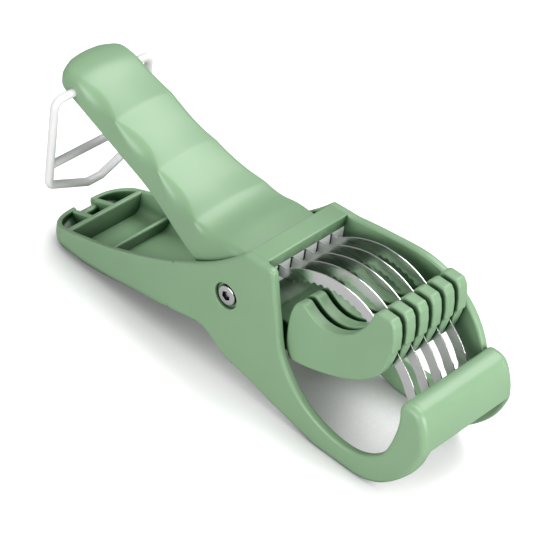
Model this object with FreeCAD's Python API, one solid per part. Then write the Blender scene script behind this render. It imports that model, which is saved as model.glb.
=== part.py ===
import FreeCAD, Part
import math
import os

os.makedirs("parts", exist_ok=True)

# Hand-held egg slicer: a frame with a boat-shaped lower handle, and a squeeze handle whose
# ribbed cradle lifts the egg through five fixed blades.
# Millimetres. X runs from the tail to the nose, Y across, Z up. The outlines are drawn with the
# pivot near x = 0, and each finished piece is moved so that the origin is the middle of the
# length and width, on the surface that the slicer rests on.

# ---- overall sizes ----
overall_length = 228.5        # handle tip to the nose of the crossbar
plate_thickness = 4.0         # each side plate
hull_wall = 2.5               # wall and floor of the lower handle
nose_x = 111.5
tip_x = nose_x - overall_length
middle_x = (nose_x + tip_x) / 2
joint_x = -30.0               # where the boat turns into the flat side plates
drawn_tip_x = -117.0          # tip_x at the length that the rear outlines were drawn for
rear_stretch = (joint_x - tip_x) / (joint_x - drawn_tip_x)

# ---- blades ----
blade_count = 5
blade_pitch = 8.0
blade_thickness = 0.5
blade_band = 5.6              # from the smooth outer edge to the serrated inner edge
tooth_pitch = 4.2
tooth_depth = 0.45
slot_clearance = 0.15         # each side of a blade in its slot
root_plate_thickness = 0.8
root_plate_height = 9.6
root_strip_height = 1.4       # unslotted strip along the bottom of the root plate
nose_slot_height = 16.0       # of the slots in the crossbar
nose_slot_rise = 0.9          # lower end of those slots over the bar's lower edge
eye_wall = 1.2                # steel round a rod at a blade's root
tooth_fade_x = 82.0           # the teeth die away before this place
tooth_fade_length = 10.0
rod_radius = 0.8              # rods that hold the blade ends
rod_clearance = 0.05
rear_rod_gap = 0.02           # rear rod to the wall in front of it
rod_end_gap = 0.1             # each rod end to a side plate

# ---- cradle and width ----
rib_count = blade_count + 1
rib_slot = 2.6                # gap between ribs that a blade passes through
rib_thickness = blade_pitch - rib_slot
cradle_side_gap = 1.3         # outermost rib to the side plate
inner_half = (rib_count * blade_pitch - rib_slot) / 2 + cradle_side_gap
half_width = inner_half + plate_thickness
piece_gap = 0.3

# ---- pivot ----
pivot_x = 1.0
pivot_z = 43.0
sleeve_radius = 3.0
running_clearance = 0.05
screw_radius = 1.9
screw_head_radius = 4.7
screw_head_height = 1.7
counterbore_radius = 6.1
counterbore_depth = 2.0
washer_thickness = 1.0
washer_radius = 8.0
washer_gap = 0.15             # each face of a washer
hub_radius = 9.0
hex_across_flats = 3.0
hex_recess_depth = 1.2
screw_head_round = 0.7
screw_end_y = 4.0             # inner end of the screw's shank
thread_end_y = 6.0            # inner end of the sleeve's threaded hole
thread_clearance = 0.02

# ---- squeeze handle ----
handle_wall = 2.4
handle_tip_half = 17.5        # half width of the grip
handle_tip_cut = 9.5          # how much narrower each side is at the very tip
handle_tip_length = 9.5       # length of the rounding of the tip
handle_edge_slope = math.tan(math.radians(-21.5))
handle_edge_drop = 7.1        # the lower edge passes this far under the pivot
grip_wave_pitch = 28.0
grip_wave_depth = 1.2
grip_wave_start = tip_x + 13.5
boss_thickness = 5.0          # each pivot boss of the handle
hub_half_span = inner_half - washer_thickness - 2 * washer_gap
cradle_hub_half = hub_half_span - boss_thickness - piece_gap

# ---- return spring ----
spring_wire = 1.4
spring_radius = 6.2
spring_half_span = 6.0
spring_start = 290.0          # angle round the pivot where the low leg leaves the coil
spring_turn = 1930.0
spring_low_leg = 15.0
spring_high_leg = 16.5
spring_room = 8.0             # half of the gap between the two hubs of the cradle

# ---- lock bail ----
bail_wire = 3.9
bail_pivot_x = tip_x + 12.5
bail_pivot_rise = 3.57343     # over the handle's lower edge
bail_half_width = 28.0        # to the middle of each leg
bail_end_z = 26.0             # the lowest point of the end bar hangs here, clear of the tail
bail_corner_rise = 10.0       # from there to the corners below the legs
bail_cross_rise = 20.5        # and to the straight cross bar
bail_flat = 4.0               # half length of the level middle of the end bar
bail_bend = 4.0
bail_pin_depth = 4.0          # how far a pin reaches into the handle


def vec(x, y, z):
    return FreeCAD.Vector(x, y, z)


def smooth(points, y=0.0):
    """A smooth edge through points given as (x, z)."""
    curve = Part.BSplineCurve()
    curve.interpolate([vec(x, y, z) for x, z in points])
    return curve.toShape()


def straight(points, y=0.0):
    """Straight edges from point to point."""
    corners = [vec(x, y, z) for x, z in points]
    return [Part.makeLine(a, b) for a, b in zip(corners, corners[1:])]


def slab(edges, y_low, y_high):
    """A closed outline drawn at y = 0, thickened from y_low to y_high."""
    face = Part.Face(Part.Wire(Part.__sortEdges__(edges)))
    solid = face.extrude(vec(0, y_high - y_low, 0))
    solid.translate(vec(0, y_low, 0))
    return solid


def block(points, y_low, y_high):
    """A slab with straight sides."""
    return slab(straight(points + points[:1]), y_low, y_high)


def rod_y(radius, x, z, y_low, y_high):
    """A cylinder along Y."""
    return Part.makeCylinder(radius, y_high - y_low, vec(x, y_low, z), vec(0, 1, 0))


def fuse(solids):
    """All the solids as one, with the seams between flush faces removed."""
    return solids[0].multiFuse(solids[1:]).removeSplitter()


def rear_x(x):
    """A place behind joint_x, spread along with the overall length."""
    return joint_x + (x - joint_x) * rear_stretch


def save(name, shape):
    """Write one piece; a piece of one solid is written as that solid."""
    solids = shape.Solids
    whole = solids[0] if len(solids) == 1 else Part.makeCompound(solids)
    whole.translate(vec(-middle_x, 0, 0))
    whole.exportStep("parts/" + name + ".step")
    print(name, len(solids), whole.isValid(), round(whole.Volume, 1))


# ---- frame -----------------------------------------------------------------

joint_rim_z = 41.3
joint_floor_z = 15.2
bridge_rear = (7.5, 69.6)
bridge_front_x = 17.2         # front face between the plates
bridge_top_z = 70.4
body_height = 90.0            # about the height of the handle's tip
bridge_lip_z = 64.2           # lower edge of the lip above the root plate
bridge_bend_z = 63.0          # top of the upright wall behind the root plate
bridge_under_z = 66.4         # underside of the bridge behind that wall
bridge_ledge = 2.4
plate_corner = (21.5, bridge_top_z)
plate_corner_end = (24.3, 67.4)
rear_wall = 2.6               # wall behind the root plate
crossbar_rear_x = 95.4
crossbar_top_z = 51.6
crossbar_shell = 2.5
crossbar_low_z = 33.6
channel_end_z = 20.0          # the crossbar's channel is cut down to here, clear of the bar
seam_overlap = 0.5            # how far a cross piece runs into the plates before they are fused

# x, rim height, floor height, side inset from the full width, bottom corner radius
boat_stations = [
    (-110.3, 9.0, 5.6, 17.5, 1.2),
    (-108.6, 9.6, 3.9, 12.0, 2.2),
    (-105.5, 10.5, 2.0, 7.8, 3.6),
    (-101.0, 12.0, 0.5, 5.2, 5.0),
    (-95.0, 13.8, -0.4, 4.1, 6.5),
    (-86.0, 16.7, -0.2, 3.4, 7.0),
    (-70.0, 22.4, 3.1, 2.3, 7.0),
    (-50.0, 31.2, 9.0, 1.0, 5.5),
    (joint_x, joint_rim_z, joint_floor_z, 0.0, 3.0),
]
solid_tail_stations = 2       # the first stations, where the hull is solid
least_corner = 0.8            # of the hull's inner surface
stop_rib_x = -97.3            # the handle's lower edge meets this rib
stop_rib_top_z = 13.5
low_rib_x = -79.2
low_rib_top_z = 10.0
low_rib_wall = 2.0
pocket_rear_x = -109.8
pocket_front_x = -95.8
pocket_top_z = 12.6
notch_half = 5.4              # slot in the tail that the bail's end bar drops into
notch_floor_z = 4.2
notch_front_x = -97.0
stop_top_z = 31.0             # stop for the spring's low leg
stop_front_x = -12.0


def u_section(x, rim, floor, half, corner):
    """Closed section across the boat: level top, upright sides, rounded bottom corners."""
    k = corner * (1 - math.sqrt(0.5))
    left_low = vec(x, -half, floor + corner)
    right_low = vec(x, half, floor + corner)
    bottom_left = vec(x, -half + corner, floor)
    bottom_right = vec(x, half - corner, floor)
    arc_left = Part.Arc(left_low, vec(x, -half + k, floor + k), bottom_left).toShape()
    arc_right = Part.Arc(bottom_right, vec(x, half - k, floor + k), right_low).toShape()
    edges = [
        Part.makeLine(vec(x, -half, rim), left_low),
        arc_left,
        Part.makeLine(bottom_left, bottom_right),
        arc_right,
        Part.makeLine(right_low, vec(x, half, rim)),
        Part.makeLine(vec(x, half, rim), vec(x, -half, rim)),
    ]
    return Part.Wire(edges)


def boat():
    """The hollow lower handle: outer loft less an inner loft, with ribs, pockets and notch."""
    stations = [(rear_x(x), rim, floor, half_width - inset, corner)
                for x, rim, floor, inset, corner in boat_stations]
    outer = Part.makeLoft([u_section(*station) for station in stations], True, False)
    inner_sections = []
    for x, rim, floor, half, corner in stations[solid_tail_stations:]:
        inner_corner = max(corner - hull_wall, least_corner)
        open_top = rim + body_height / 3
        inner_sections.append(
            u_section(x, open_top, floor + hull_wall, half - hull_wall, inner_corner))
    inner_sections[0].translate(vec(hull_wall, 0, 0))
    inner = Part.makeLoft(inner_sections, True, False)
    hull = outer.cut(inner)

    stop_rib = box_between(rear_x(stop_rib_x), hull_wall, half_width, stop_rib_top_z)
    low_rib = box_between(rear_x(low_rib_x), low_rib_wall, half_width, low_rib_top_z)
    pocket_length = (pocket_front_x - pocket_rear_x) * rear_stretch
    pocket_sides = []
    for side in (-1, 1):
        y_low = min(side * notch_half, side * (notch_half + hull_wall))
        pocket_sides.append(Part.makeBox(
            pocket_length, hull_wall, pocket_top_z, vec(rear_x(pocket_rear_x), y_low, 0)))
    ribs = fuse([stop_rib, low_rib] + pocket_sides).common(outer)
    hull = fuse([hull, ribs])
    notch_rear_x = rear_x(pocket_rear_x) - hull_wall
    notch = box_between(notch_rear_x, rear_x(notch_front_x) - notch_rear_x, notch_half,
                        body_height)
    notch.translate(vec(0, 0, notch_floor_z))
    return hull.cut(notch)


def box_between(x, length, half, top):
    """A box that stands on z = 0 and spans both sides of the middle plane."""
    return Part.makeBox(length, 2 * half, top, vec(x, -half, 0))


rim_points = [(joint_x, joint_rim_z), (-15.0, 49.8), (-4.0, 58.0), bridge_rear]
near_opening = [
    plate_corner_end, (29.4, 48.1), (34.7, 31.3), (47.9, 17.2), (65.0, 10.8),
    (80.0, 11.6), (91.0, 20.0), (95.6, 36.0), (crossbar_rear_x, 46.5),
]
upper_arm = [
    plate_corner, (40.0, 73.3), (59.6, 75.0), (72.0, 72.2), (86.5, 62.5),
    (crossbar_rear_x, 48.2),
]
front_curve = [
    (nose_x, crossbar_low_z), (107.6, 22.2), (101.0, 12.6), (90.5, 3.4), (79.0, 0.0),
]
belly_curve = [
    (57.0, 0.0), (45.9, 2.5), (30.0, 6.1), (16.2, 9.6), (5.2, 11.7), (1.1, 13.4),
    (-4.2, 16.7), (-8.2, 18.7), (-12.5, 19.4), (-20.0, 17.6), (joint_x, joint_floor_z),
]
far_opening = [
    (40.0, 34.0), (44.0, 43.0), (54.0, 49.5), (66.0, 50.0), (77.0, 45.6), (84.6, 34.0),
    (83.0, 23.5), (74.5, 18.0), (58.5, 18.0), (46.0, 22.5),
]
crossbar_outer = [
    (crossbar_rear_x, 48.2), (97.0, crossbar_top_z - 0.6), (101.0, crossbar_top_z),
    (105.4, 50.0), (109.0, 44.0), (nose_x, crossbar_low_z),
]


def side_plate(y_low, y_high, top_edges):
    """One side plate; top_edges run from the bridge's corner to the crossbar's rear edge."""
    edges = [smooth(rim_points)]
    edges += straight([bridge_rear, plate_corner])
    edges += top_edges
    edges.append(smooth(crossbar_outer))
    edges.append(smooth(front_curve))
    edges += straight([front_curve[-1], belly_curve[0]])
    edges.append(smooth(belly_curve))
    edges += straight([belly_curve[-1], rim_points[0]])
    return slab(edges, y_low, y_high)


def near_plate():
    """The plate whose front is an open C, low enough to see the cradle over it."""
    corner_middle = (plate_corner[0] + 2.2, plate_corner[1] - 0.7)
    corner = Part.Arc(
        vec(plate_corner[0], 0, plate_corner[1]),
        vec(corner_middle[0], 0, corner_middle[1]),
        vec(plate_corner_end[0], 0, plate_corner_end[1])).toShape()
    top = [corner, smooth(near_opening)]
    top += straight([near_opening[-1], crossbar_outer[0]])
    return side_plate(-half_width, -inner_half, top)


def far_plate():
    """The plate that also carries an upper arm along the blades, with an oval window."""
    plate = side_plate(inner_half, half_width, [smooth(upper_arm)])
    window = slab([smooth(far_opening + far_opening[:1])], inner_half - 1, half_width + 1)
    return plate.cut(window)


def bridge():
    """The block between the plates that the blade roots hang from."""
    back_x = bridge_front_x - root_plate_thickness - rear_wall
    low_z = bridge_lip_z - root_plate_height
    outline = [
        bridge_rear, (bridge_front_x, bridge_top_z - 0.1), (bridge_front_x, bridge_lip_z),
        (bridge_front_x - root_plate_thickness, bridge_lip_z),
        (bridge_front_x - root_plate_thickness, low_z), (back_x, low_z), (back_x, bridge_bend_z),
        (back_x - bridge_ledge, bridge_under_z), (bridge_rear[0] - 0.6, bridge_under_z),
    ]
    return block(outline, -inner_half - seam_overlap, inner_half + seam_overlap)


def crossbar():
    """The half-round bar at the nose, open below, that takes the front ends of the blades."""
    low_rear = (crossbar_rear_x, crossbar_low_z)
    outer = slab(
        [smooth(crossbar_outer)] + straight([crossbar_outer[-1], low_rear, crossbar_outer[0]]),
        -half_width, half_width)
    t = crossbar_shell
    channel_points = [
        (crossbar_rear_x + t, channel_end_z), (crossbar_rear_x + t, crossbar_top_z - t - 0.8),
        (101.5, crossbar_top_z - t), (104.0, 47.4), (106.6, 42.8),
        (nose_x - t, crossbar_low_z), (nose_x - t, channel_end_z),
    ]
    return outer.cut(block(channel_points, -inner_half, inner_half))


def floor_end():
    """The floor between the plates behind the pivot, with the stop for the spring's leg."""
    stop_rear_x = stop_front_x - hull_wall
    floor_low, floor_high = belly_curve[-2], belly_curve[-3]
    low = [(joint_x, joint_floor_z), floor_low, (stop_front_x, floor_high[1])]
    top = [(stop_front_x, stop_top_z), (stop_rear_x, stop_top_z),
           (stop_rear_x, floor_high[1] + hull_wall),
           (floor_low[0], floor_low[1] + hull_wall), (joint_x, joint_floor_z + hull_wall)]
    return block(low + top, -inner_half - seam_overlap, inner_half + seam_overlap)


def blade_planes():
    """The Y of each blade, from the near side to the far side."""
    middle = (blade_count - 1) / 2
    return [(i - middle) * blade_pitch for i in range(blade_count)]


def frame_body():
    pieces = [boat(), near_plate(), far_plate(), bridge(), crossbar(), floor_end()]
    body = fuse(pieces)
    slot_half = blade_thickness / 2 + slot_clearance
    cutters = []
    for y in blade_planes():
        root_low = bridge_lip_z - root_plate_height + root_strip_height
        cutters.append(Part.makeBox(
            2 * hull_wall + 1.0, 2 * slot_half, bridge_lip_z - root_low - 0.1,
            vec(bridge_front_x - 2 * hull_wall, y - slot_half, root_low)))
        cutters.append(Part.makeBox(
            crossbar_shell + 2.0, 2 * slot_half, nose_slot_height,
            vec(crossbar_rear_x - 1.5, y - slot_half, crossbar_low_z + nose_slot_rise)))
    bore = rod_y(sleeve_radius + running_clearance, pivot_x, pivot_z,
                 -half_width - 1, half_width + 1)
    near_seat = rod_y(counterbore_radius, pivot_x, pivot_z,
                      -half_width - 1, -half_width + counterbore_depth)
    far_seat = rod_y(counterbore_radius, pivot_x, pivot_z,
                     half_width - counterbore_depth, half_width + 1)
    below = Part.makeBox(2 * overall_length, 4 * half_width, 10.0,
                         vec(-overall_length, -2 * half_width, -10.0))
    return body.cut(cutters + [bore, near_seat, far_seat, below])


# ---- blades ----------------------------------------------------------------

blade_root_x = bridge_front_x - root_plate_thickness - rear_wall
rear_rod_x = blade_root_x - rod_radius - rear_rod_gap
rear_rod_z = 59.6
front_rod_x = crossbar_rear_x + crossbar_shell + rod_radius + rod_clearance
front_rod_z = 38.6
blade_arc = [
    (20.5, 64.0), (31.0, 70.7), (45.5, 74.9), (61.0, 73.3), (77.0, 64.4), (88.6, 54.9),
    (93.8, 47.6),
]


def blade_outline():
    """Edges of one blade: smooth outer arc, toothed inner arc, and an eye at each end."""
    outer = Part.BSplineCurve()
    outer.interpolate([vec(x, 0, z) for x, z in blade_arc])
    first = outer.FirstParameter
    last = outer.LastParameter
    length = outer.length(first, last)
    teeth = int(length / tooth_pitch)
    steps = 4 * teeth
    inner = []
    for i in range(steps + 1):
        t = first + (last - first) * i / steps
        point = outer.value(t)
        along = outer.tangent(t)[0]
        fade = min(max((tooth_fade_x - point.x) / tooth_fade_length, 0.0), 1.0)
        depth = blade_band + fade * tooth_depth * math.sin(2 * math.pi * i / 4)
        inner.append((point.x + along.z * depth, point.z - along.x * depth))
    root_tail = rear_rod_x - rod_radius - eye_wall
    root = [blade_arc[0], (bridge_front_x, blade_arc[0][1]), (root_tail, rear_rod_z + 2.0),
            (root_tail, rear_rod_z - 2.0), (bridge_front_x, inner[0][1] - 1.5), inner[0]]
    nose = [blade_arc[-1], (front_rod_x + 1.6, front_rod_z + 2.2),
            (front_rod_x + 1.6, front_rod_z - 2.0), (front_rod_x - 1.4, front_rod_z - 2.0),
            (crossbar_rear_x - 1.2, front_rod_z - 0.6), inner[-1]]
    return [outer.toShape(), smooth(inner)] + straight(root) + straight(nose)


def blade(y):
    body = slab(blade_outline(), y - blade_thickness / 2, y + blade_thickness / 2)
    eyes = [
        rod_y(rod_radius + rod_clearance, rear_rod_x, rear_rod_z, y - 1, y + 1),
        rod_y(rod_radius + rod_clearance, front_rod_x, front_rod_z, y - 1, y + 1),
    ]
    return body.cut(eyes)


def blade_root_plate():
    """The steel strip under the bridge's lip, with a slot for each blade."""
    low = bridge_lip_z - root_plate_height
    x = bridge_front_x - root_plate_thickness
    strip = Part.makeBox(
        root_plate_thickness, 2 * inner_half - 0.1, root_plate_height - 0.05,
        vec(x, -inner_half + 0.05, low))
    slot_half = blade_thickness / 2 + slot_clearance
    slots = [
        Part.makeBox(3.0, 2 * slot_half, root_plate_height,
                     vec(x - 1, y - slot_half, low + root_strip_height))
        for y in blade_planes()
    ]
    return strip.cut(slots)


# ---- squeeze handle --------------------------------------------------------

handle_front_x = 4.5
flare_start = -62.0           # the handle widens from the grip to the hubs between these places
flare_end = -18.0
wave_fade_length = 10.0
grip_crest_x = -80.0
web_x = -34.0                 # cross web that the spring's high leg presses on
web_low_z = 55.0
web_height = 11.0
tip_round_power = 2.5
# x, height of the crest over the lower edge
handle_depth_line = [
    (-117.0, 6.4), (-111.5, 10.4), (-104.0, 12.8), (-92.0, 14.4), (-60.0, 16.2), (-34.0, 17.45),
    (-18.0, 20.75), (-6.0, 26.9), (handle_front_x, 30.4),
]


def lower_edge_z(x):
    """Height of the handle's lower edge, a line that passes under the pivot."""
    angle = math.atan(handle_edge_slope)
    return pivot_z - handle_edge_drop / math.cos(angle) + (x - pivot_x) * handle_edge_slope


bail_pivot_z = lower_edge_z(bail_pivot_x) + bail_pivot_rise


def handle_half(x):
    """Half width: rounded at the tip, slim along the grip, full width at the pivot."""
    from_tip = x - tip_x
    if from_tip < handle_tip_length:
        cut = handle_tip_cut * (1 - from_tip / handle_tip_length) ** tip_round_power
        return handle_tip_half - cut
    flare = min(max((x - flare_start) / (flare_end - flare_start), 0.0), 1.0)
    blend = flare * flare * (3 - 2 * flare)
    return handle_tip_half + (hub_half_span - handle_tip_half) * blend


def top_z(x):
    """Height of the handle's crest line, with the shallow finger waves of the grip."""
    line = [(rear_x(place) if place < joint_x else place, depth)
            for place, depth in handle_depth_line]
    depth = line[-1][1]
    for (x0, d0), (x1, d1) in zip(line, line[1:]):
        if x <= x1:
            depth = d0 + (d1 - d0) * (x - x0) / (x1 - x0)
            break
    fade_in = min(max((x - grip_wave_start) / wave_fade_length, 0.0), 1.0)
    fade_out = min(max((joint_x - x) / wave_fade_length, 0.0), 1.0)
    wave = math.cos(2 * math.pi * (x - grip_crest_x) / grip_wave_pitch)
    return lower_edge_z(x) + depth + fade_in * fade_out * grip_wave_depth * wave


def crowned_section(x, half, low, top, corner, crown):
    """Closed section of the handle: level bottom, upright sides, round shoulders, crowned top."""
    shoulder = top - crown
    k = corner * (1 - math.sqrt(0.5))
    edges = [
        Part.makeLine(vec(x, half, low), vec(x, -half, low)),
        Part.makeLine(vec(x, -half, low), vec(x, -half, shoulder - corner)),
        Part.Arc(vec(x, -half, shoulder - corner), vec(x, -half + k, shoulder - k),
                 vec(x, -half + corner, shoulder)).toShape(),
        Part.Arc(vec(x, -half + corner, shoulder), vec(x, 0, top),
                 vec(x, half - corner, shoulder)).toShape(),
        Part.Arc(vec(x, half - corner, shoulder), vec(x, half - k, shoulder - k),
                 vec(x, half, shoulder - corner)).toShape(),
        Part.makeLine(vec(x, half, shoulder - corner), vec(x, half, low)),
    ]
    return Part.Wire(edges)


tip_stations = [tip_x, tip_x + 1.2, tip_x + 3.0, tip_x + 6.0, tip_x + handle_tip_length]
drawn_grip_stations = (-102, -96, -87, -80, -73, -66, -59, -52, -45, -38, joint_x)
least_station_gap = 2.0
grip_stations = [rear_x(x) for x in drawn_grip_stations
                 if rear_x(x) > tip_stations[-1] + least_station_gap]
handle_stations = tip_stations + grip_stations + [-22, -14, -6, handle_front_x]
handle_shoulder = 4.5
full_crown = 2.2


def handle_crown(x):
    """How far the middle of the top rises over the shoulders, less where the tip narrows."""
    return full_crown * min(handle_half(x) / handle_tip_half, 1.0)


def upper_handle():
    outer = Part.makeLoft([
        crowned_section(x, handle_half(x), lower_edge_z(x), top_z(x), handle_shoulder,
                        handle_crown(x))
        for x in handle_stations], True, False)
    t = handle_wall
    inner_stations = [tip_x + t] + handle_stations[3:-1] + [handle_front_x + 1.0]
    inner = Part.makeLoft([
        crowned_section(x, handle_half(x) - t, lower_edge_z(x) - 4 * t,
                        top_z(min(x, handle_front_x)) - t, handle_shoulder - t + 0.8,
                        handle_crown(x))
        for x in inner_stations], True, False)
    between_washers = Part.makeBox(
        2 * overall_length, 2 * hub_half_span, 2 * body_height,
        vec(-overall_length, -hub_half_span, 0))
    shell = outer.cut(inner).common(between_washers)
    bosses = []
    for side in (-1, 1):
        y_low = min(side * (cradle_hub_half + piece_gap), side * hub_half_span)
        y_high = max(side * (cradle_hub_half + piece_gap), side * hub_half_span)
        bosses.append(rod_y(hub_radius, pivot_x, pivot_z, y_low, y_high))
    web = Part.makeBox(handle_wall, 2 * hub_half_span, web_height,
                       vec(web_x, -hub_half_span, web_low_z))
    shell = fuse([shell] + bosses + [web.common(outer)])
    bore = rod_y(sleeve_radius + running_clearance, pivot_x, pivot_z,
                 -half_width, half_width)
    pin_bore = rod_y(bail_wire / 2 + 0.1, bail_pivot_x, bail_pivot_z, -half_width, half_width)
    return shell.cut([bore, pin_bore])


# ---- cradle ----------------------------------------------------------------

tongue_thickness = 5.0        # of the two tongues that reach into the handle
rib_back = [(38.5, 59.2), (36.4, 59.7), (33.4, 57.8), (31.4, 52.0), (30.8, 44.0), (31.6, 34.0),
            (34.0, 28.6)]
rib_bottom = [(34.0, 28.6), (43.0, 30.2), (59.3, 35.9), (71.5, 42.8), (79.0, 50.6),
              (82.4, 60.0), (83.0, 64.6)]
rib_front = [(83.0, 64.6), (84.0, 65.4), (83.6, 72.0), (82.4, 77.2), (80.4, 79.7), (73.6, 79.7),
             (71.8, 78.0)]
rib_seat = [(71.8, 78.0), (68.6, 69.4), (63.0, 61.6), (54.5, 56.2), (46.5, 55.5), (38.5, 59.2)]
web_outline = [(31.6, 43.5), (38.0, 39.4), (46.0, 35.0), (49.0, 32.2), (43.0, 30.2),
               (34.0, 28.6), (18.0, 28.0), (10.2, 30.2), (10.2, 46.0), (19.0, 42.0)]
arm_outline = [(20.0, 42.0), (20.0, 28.0), (10.0, 30.0), (pivot_x, pivot_z - hub_radius + 0.5),
               (pivot_x, pivot_z + hub_radius - 0.5), (8.0, 48.0)]
tongue_outline = [(pivot_x, pivot_z + hub_radius - 0.5), (pivot_x, pivot_z - 2), (-31.2, 52.4),
                  (-31.2, 58.5), (-18.0, 57.0)]


def rib(y):
    """One finger of the cradle, centred on y."""
    edges = [smooth(rib_back), smooth(rib_bottom), smooth(rib_seat)] + straight(rib_front)
    return slab(edges, y - rib_thickness / 2, y + rib_thickness / 2)


def presser_cradle():
    ribs = [rib((i - (rib_count - 1) / 2) * blade_pitch) for i in range(rib_count)]
    outer_rib_middle = (rib_count - 1) / 2 * blade_pitch
    web = block(web_outline, -outer_rib_middle, outer_rib_middle)
    limbs = []
    for side in (-1, 1):
        y_low = min(side * spring_room, side * cradle_hub_half)
        y_high = max(side * spring_room, side * cradle_hub_half)
        limbs.append(rod_y(hub_radius, pivot_x, pivot_z, y_low, y_high))
        limbs.append(block(arm_outline, y_low, y_high))
        y_low = min(side * spring_room, side * (spring_room + tongue_thickness))
        y_high = max(side * spring_room, side * (spring_room + tongue_thickness))
        limbs.append(block(tongue_outline, y_low, y_high))
    body = fuse(ribs + [web] + limbs)
    bore = rod_y(sleeve_radius + running_clearance, pivot_x, pivot_z, -half_width, half_width)
    return body.cut(bore)


# ---- pivot hardware --------------------------------------------------------

def pivot_sleeve():
    """Barrel nut through both plates, its head in the far seat."""
    shank_end = -half_width + counterbore_depth + 0.1
    far_face = half_width - counterbore_depth
    shank = rod_y(sleeve_radius, pivot_x, pivot_z, shank_end, far_face + 0.1)
    head = rod_y(screw_head_radius, pivot_x, pivot_z, far_face, far_face + screw_head_height)
    thread = rod_y(screw_radius, pivot_x, pivot_z, shank_end - 1, thread_end_y)
    return fuse([shank, head]).cut(thread)


def pivot_screw():
    """Cap screw in the near seat, with a slightly domed head and a hexagon recess."""
    seat = -half_width + counterbore_depth
    head = rod_y(screw_head_radius, pivot_x, pivot_z, seat - screw_head_height, seat)
    rim_edges = [e for e in head.Edges
                 if abs(e.CenterOfMass.y - (seat - screw_head_height)) < 1e-6]
    head = head.makeFillet(screw_head_round, rim_edges)
    shank = rod_y(screw_radius - thread_clearance, pivot_x, pivot_z, seat - 0.1, screw_end_y)
    corner = hex_across_flats / math.sqrt(3)
    hexagon = [(pivot_x + corner * math.cos(math.radians(60 * i)),
                pivot_z + corner * math.sin(math.radians(60 * i))) for i in range(6)]
    recess = block(hexagon, -half_width - 1, seat - screw_head_height + hex_recess_depth)
    return fuse([head, shank]).cut(recess)


def pivot_washers():
    """One plain washer on each side, between the handle and the plate."""
    washers = []
    for side in (-1, 1):
        y_near = side * (inner_half - washer_gap)
        y_deep = side * (inner_half - washer_gap - washer_thickness)
        ring = rod_y(washer_radius, pivot_x, pivot_z, min(y_near, y_deep), max(y_near, y_deep))
        hole = rod_y(sleeve_radius + running_clearance, pivot_x, pivot_z, -half_width,
                     half_width)
        washers.append(ring.cut(hole))
    return Part.makeCompound(washers)


def handle_spring():
    """Torsion spring round the sleeve: one leg on the frame's stop, one under the handle."""
    height = 2 * spring_half_span
    helix = Part.makeHelix(height / (spring_turn / 360.0), height, spring_radius, 0, True)
    helix.rotate(vec(0, 0, 0), vec(1, 0, 0), -90)
    helix.rotate(vec(0, 0, 0), vec(0, 1, 0), -spring_start)
    helix.translate(vec(pivot_x, -spring_half_span, pivot_z))
    edge = helix.Edges[0]
    coil_start = edge.valueAt(edge.FirstParameter)
    coil_end = edge.valueAt(edge.LastParameter)
    start_way = edge.tangentAt(edge.FirstParameter)
    end_way = edge.tangentAt(edge.LastParameter)
    wire = spring_wire / 2
    section = Part.Wire([Part.Circle(coil_start, start_way, wire).toShape()])
    coil = Part.Wire([edge]).makePipeShell([section], True, True)
    low_leg = Part.makeCylinder(wire, spring_low_leg, coil_start, start_way * -1)
    high_leg = Part.makeCylinder(wire, spring_high_leg, coil_end, end_way)
    return coil.multiFuse([low_leg, high_leg])


# ---- bail ------------------------------------------------------------------

def bent_wire(points, bend, radius):
    """A round wire along straight runs in one plane, with an arc at each corner."""
    edges = []
    start = points[0]
    for before, corner, after in zip(points, points[1:], points[2:]):
        back = (before - corner).normalize()
        ahead = (after - corner).normalize()
        half_angle = back.getAngle(ahead) / 2
        reach = bend / math.tan(half_angle)
        entry = corner + back * reach
        leave = corner + ahead * reach
        inward = (back + ahead).normalize()
        middle = corner + inward * (bend / math.sin(half_angle) - bend)
        edges.append(Part.makeLine(start, entry))
        edges.append(Part.Arc(entry, middle, leave).toShape())
        start = leave
    edges.append(Part.makeLine(start, points[-1]))
    path = Part.Wire(edges)
    direction = (points[1] - points[0]).normalize()
    section = Part.Wire([Part.Circle(points[0], direction, radius).toShape()])
    return path.makePipeShell([section], True, False)


def lock_bail():
    x = bail_pivot_x
    z = bail_pivot_z
    w = bail_half_width
    pin_end = handle_half(bail_pivot_x) - bail_pin_depth
    drop = z - bail_end_z
    leg = drop - bail_corner_rise
    corners = [(-pin_end, 0), (-w, 0), (-w, -leg), (-bail_flat, -drop),
               (bail_flat, -drop), (w, -leg), (w, 0), (pin_end, 0)]
    loop = bent_wire([vec(x, y, z + rise) for y, rise in corners], bail_bend, bail_wire / 2)
    cross = rod_y(bail_wire / 2, x, bail_end_z + bail_cross_rise, -w, w)
    return fuse([loop, cross])


# ---- build -----------------------------------------------------------------

save("frame_body", frame_body())
for number, plane in enumerate(blade_planes(), 1):
    save("blade_" + str(number), blade(plane))
save("blade_root_plate", blade_root_plate())
rod_half = inner_half - rod_end_gap
save("blade_rear_rod", rod_y(rod_radius, rear_rod_x, rear_rod_z, -rod_half, rod_half))
save("blade_front_rod", rod_y(rod_radius, front_rod_x, front_rod_z, -rod_half, rod_half))
save("upper_handle", upper_handle())
save("presser_cradle", presser_cradle())
save("pivot_sleeve", pivot_sleeve())
save("pivot_screw", pivot_screw())
save("pivot_washers", pivot_washers())
save("handle_spring", handle_spring())
save("lock_bail", lock_bail())
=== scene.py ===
import math

import bmesh
import bpy
import numpy as np
from mathutils import Matrix, Vector
from mathutils.geometry import tessellate_polygon


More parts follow.
